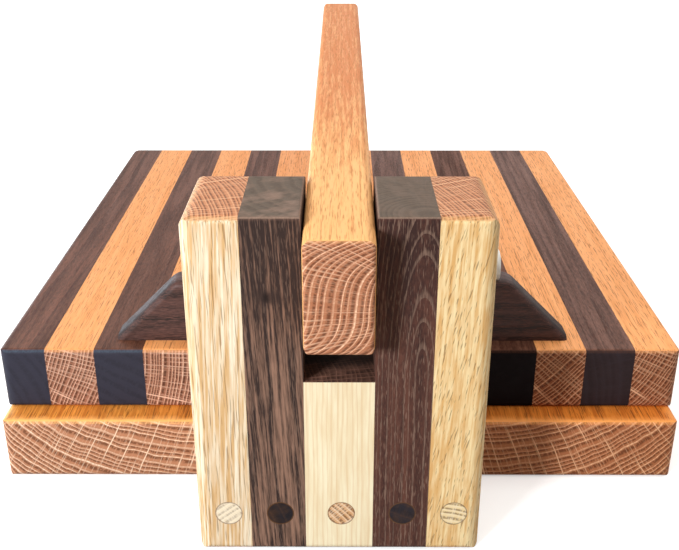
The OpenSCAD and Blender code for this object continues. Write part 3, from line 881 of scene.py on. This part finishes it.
class PRESS_OT_pressure_bar(bpy.types.Operator):
    """Model the pressure bar with its sloping, rounded ends, and the wear rod on it"""
    bl_idname = "press.pressure_bar"
    bl_label = "Pressure Bar"

    def execute(self, context):
        finish = context.scene.press.bar
        bar = self.bar(finish)
        tones = shades(finish.walnut_pale, finish.walnut_deep, finish.walnut_pore, finish.walnut_pale,
                       finish.walnut_deep, finish.walnut_pale)
        bar.data.materials.append(wood_material(
            "bar_walnut", "pressure_bar", WALNUT, tones, "X", 60.0, -40.0, 15.0, roughness=0.46, shine=0.20,
            rim=0.0, wear=0.0, relief=0.08))
        rod = self.rod(finish)
        rod.data.materials.append(self.rod_material(finish))
        return {"FINISHED"}

    def bar(self, finish):
        """Wedge-ended bar, rounded and then cut off at its toes."""
        low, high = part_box("pressure_bar")
        slope = high.z - low.z
        toe = finish.foot
        corners = ((low.x - toe, low.z), (high.x + toe, low.z), (high.x + toe - slope, high.z),
                   (low.x - toe + slope, high.z))
        mesh = bmesh.new()
        front = mesh.faces.new([mesh.verts.new((x, low.y, z)) for x, z in corners])
        rear = bmesh.ops.extrude_face_region(mesh, geom=[front])["geom"]
        bmesh.ops.translate(mesh, verts=[item for item in rear if isinstance(item, bmesh.types.BMVert)],
                            vec=(0, high.y - low.y, 0))
        bmesh.ops.recalc_face_normals(mesh, faces=mesh.faces)
        edges = [edge for edge in mesh.edges if max(vert.co.z for vert in edge.verts) > low.z + toe]
        bmesh.ops.bevel(mesh, geom=edges, offset=finish.edge_round, affect="EDGES",
                        segments=BAR_EDGE_SEGMENTS, profile=0.5, material=-1)
        for x, outward in ((low.x, -1), (high.x, 1)):
            bmesh.ops.bisect_plane(mesh, geom=[*mesh.verts, *mesh.edges, *mesh.faces],
                                   plane_co=(x, 0, 0), plane_no=(outward, 0, 0), clear_outer=True)
        bmesh.ops.holes_fill(mesh, edges=[edge for edge in mesh.edges if edge.is_boundary])
        return self.piece(mesh, "walnut_bar", "pressure_bar")

    def rod(self, finish):
        """Round rod with rounded ends, laid along X."""
        low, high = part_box("wear_rod")
        mesh = bmesh.new()
        radius = (high.z - low.z) / 2
        bmesh.ops.create_cone(mesh, cap_ends=True, segments=ROD_SEGMENTS, radius1=radius, radius2=radius,
                              depth=high.x - low.x)
        rims = [edge for edge in mesh.edges if abs(edge.verts[0].co.z - edge.verts[1].co.z) < 0.1 * MM]
        bmesh.ops.bevel(mesh, geom=rims, offset=finish.rod_chamfer, affect="EDGES",
                        segments=ROD_EDGE_SEGMENTS, profile=0.5, material=-1)
        bmesh.ops.rotate(mesh, verts=mesh.verts, cent=(0, 0, 0), matrix=Matrix.Rotation(pi / 2, 3, "Y"))
        bmesh.ops.translate(mesh, verts=mesh.verts, vec=(low + high) / 2)
        return self.piece(mesh, "white_rod", "wear_rod")

    def piece(self, mesh, name, node):
        """Piece that rides on the plate and takes a node's place."""
        piece = mesh_object(name, mesh)
        piece.data.shade_smooth()
        piece.data.set_sharp_from_angle(angle=SHARP_ANGLE)
        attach(piece, "plate")
        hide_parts(node)
        return piece

    def rod_material(self, finish):
        """White nylon with turning marks and rubbed patches."""
        material, tree, spot = new_material("rod_nylon")
        turning = scaled_noise(tree, spot["Object"], TURNING_STEPS, 1.0)
        smear = scaled_noise(tree, spot["Object"], SMEAR_STEPS, 2.0)
        face = mix(tree, ramp(tree, smear, 0.45, 0.8), opaque(finish.rod), opaque(finish.rod_smear))
        surface(tree, turning, *TOOL_MARKS, {
            "Base Color": face, "Roughness": ramp(tree, smear, 0.2, 0.8, 0.35, 0.5)})
        return material


class PRESS_OT_metal(bpy.types.Operator):
    """Dress the brass hinges with their screws, and the steel pivot pin"""
    bl_idname = "press.metal"
    bl_label = "Hinges and Pin"

    def execute(self, context):
        finish = context.scene.press.metal
        brass = self.metal("hinge_brass", finish.brass, finish.tarnish, 0.30, HINGE_BRUSHING)
        for name in ("left_base_leaf", "right_base_leaf", "left_plate_leaf", "right_plate_leaf",
                     "left_hinge_pin", "right_hinge_pin"):
            dress(name, brass)
        worn = self.metal("screw_brass", finish.screw, finish.screw_tarnish, 0.34, SCREW_BRUSHING)
        for name in ("base_leaf_screws", "plate_leaf_screws"):
            dress(name, worn)
        dress("pivot_pin", self.metal("pivot_steel", finish.steel, finish.steel_dull, 0.28, PIN_BRUSHING))
        return {"FINISHED"}

    def metal(self, name, clean, dull, roughness, brushing):
        """Brushed metal with dull patches."""
        material, tree, spot = new_material(name)
        patches = scaled_noise(tree, spot["Object"], TARNISH_STEPS, 4.0, 0.6)
        lines = scaled_noise(tree, spot["Object"], brushing, 2.0)
        face = mix(tree, ramp(tree, patches, 0.48, 0.75), opaque(clean), opaque(dull))
        rough = ramp(tree, patches, 0.4, 0.8, roughness - 0.1, roughness + 0.15)
        rough = plus(tree, lines, 0.2, rough)
        surface(tree, lines, *TOOL_MARKS, {"Base Color": face, "Metallic": 1.0, "Roughness": rough})
        return material


class PRESS_OT_studio(bpy.types.Operator):
    """Set the floor, the lamps, the white surround and the camera"""
    bl_idname = "press.studio"
    bl_label = "Studio"

    def execute(self, context):
        settings = context.scene.press.studio
        context.scene.view_settings.view_transform = "Standard"
        self.floor(settings)
        self.surround(settings)
        key = self.lamp("key", "AREA", settings.key_power, settings.key_place, settings.aim)
        key.size = settings.key_size
        key.color = settings.key_colour
        window = self.lamp("window", "AREA", settings.window_power, settings.window_place, settings.aim)
        window.shape = "RECTANGLE"
        window.size = settings.window_length
        window.size_y = settings.window_height
        window.color = settings.window_colour
        sky = self.lamp("sky", "SUN", settings.sky_strength, settings.sky_place, settings.aim)
        sky.angle = settings.sky_spread
        self.camera(settings)
        return {"FINISHED"}

    def floor(self, settings):
        """Pale floor that keeps the shadow, and throws a dull light back on the press."""
        mesh = bmesh.new()
        bmesh.ops.create_grid(mesh, x_segments=1, y_segments=1, size=settings.floor_reach)
        bmesh.ops.translate(mesh, verts=mesh.verts, vec=(0, 0, -settings.floor_drop))
        floor = mesh_object("floor", mesh)
        material, tree, spot = new_material("floor_paper")
        fibre = scaled_noise(tree, spot["Object"], PAPER_STEPS, 3.0)
        face = mix(tree, fibre, opaque(settings.floor), opaque(settings.floor_fleck))
        paper = add(tree, "ShaderNodeBsdfDiffuse", {"Color": face}).outputs[0]
        dull = add(tree, "ShaderNodeBsdfDiffuse", {"Color": opaque(settings.floor_dull)}).outputs[0]
        glow = add(tree, "ShaderNodeEmission", {"Color": WHITE, "Strength": settings.floor_glow}).outputs[0]
        lit = add(tree, "ShaderNodeAddShader", {0: paper, 1: glow}).outputs[0]
        shader = add(tree, "ShaderNodeMixShader", {0: self.seen(tree), 1: dull, 2: lit}).outputs[0]
        add(tree, "ShaderNodeOutputMaterial", {"Surface": shader})
        floor.data.materials.append(material)

    def surround(self, settings):
        """World that looks white and lights the press softly."""
        world = bpy.data.worlds.new("surround")
        tree = bare_tree(world)
        fill = add(tree, "ShaderNodeBackground", {
            "Color": opaque(settings.fill_colour), "Strength": settings.fill}).outputs[0]
        white = add(tree, "ShaderNodeBackground", {"Color": WHITE, "Strength": 1.0}).outputs[0]
        shader = add(tree, "ShaderNodeMixShader", {0: self.seen(tree), 1: fill, 2: white}).outputs[0]
        add(tree, "ShaderNodeOutputWorld", {"Surface": shader})
        bpy.context.scene.world = world

    def seen(self, tree):
        """Whether a ray comes from the camera, straight or by way of a shiny or clear surface."""
        path = add(tree, "ShaderNodeLightPath").outputs
        seen = sums(tree, "MAXIMUM", path["Is Camera Ray"], path["Is Glossy Ray"])
        return sums(tree, "MAXIMUM", seen, path["Is Transmission Ray"])

    def lamp(self, name, kind, power, place, aim):
        """Lamp at a place, pointed at the aim."""
        light = bpy.data.lights.new(name, kind)
        light.energy = power
        lamp = new_object(name, light)
        lamp.location = place
        lamp.rotation_euler = (Vector(aim) - Vector(place)).to_track_quat("-Z", "Y").to_euler()
        return light

    def camera(self, settings):
        """Camera at the photograph's viewing angle."""
        lens = bpy.data.cameras.new("camera")
        lens.lens = settings.camera_lens
        lens.sensor_width = settings.camera_sensor
        lens.clip_start = settings.camera_near
        camera = new_object("camera", lens)
        camera.location = settings.camera_place
        camera.rotation_euler = (pi / 2 - settings.camera_pitch, 0, settings.camera_pan)
        bpy.context.scene.camera = camera


class PRESS_PT_sidebar(bpy.types.Panel):
    """Pieces of the press in the sidebar"""
    bl_label = "Tortilla Press"
    bl_idname = "PRESS_PT_sidebar"
    bl_space_type = "VIEW_3D"
    bl_region_type = "UI"
    bl_category = "Press"

    def draw(self, context):
        for operator in OPERATORS:
            self.layout.operator(operator.bl_idname)


FINISHES = (BoardFinish, PlateFinish, PostFinish, LeverFinish, BarFinish, MetalFinish, StudioSettings,
            PressSettings)
OPERATORS = (PRESS_OT_base_board, PRESS_OT_plate, PRESS_OT_post, PRESS_OT_dowels, PRESS_OT_lever,
             PRESS_OT_pressure_bar, PRESS_OT_metal, PRESS_OT_studio)


def register():
    for each in (*FINISHES, *OPERATORS, PRESS_PT_sidebar):
        bpy.utils.register_class(each)
    bpy.types.Scene.press = PointerProperty(type=PressSettings)


def unregister():
    del bpy.types.Scene.press
    for each in reversed((*FINISHES, *OPERATORS, PRESS_PT_sidebar)):
        bpy.utils.unregister_class(each)


def main():
    register()
    for effect in EFFECTS:
        make_group(*effect)
    bpy.ops.press.base_board()
    bpy.ops.press.plate()
    bpy.ops.press.post()
    bpy.ops.press.dowels()
    bpy.ops.press.lever()
    bpy.ops.press.pressure_bar()
    bpy.ops.press.metal()
    bpy.ops.press.studio()


if __name__ == "__main__":
    main()
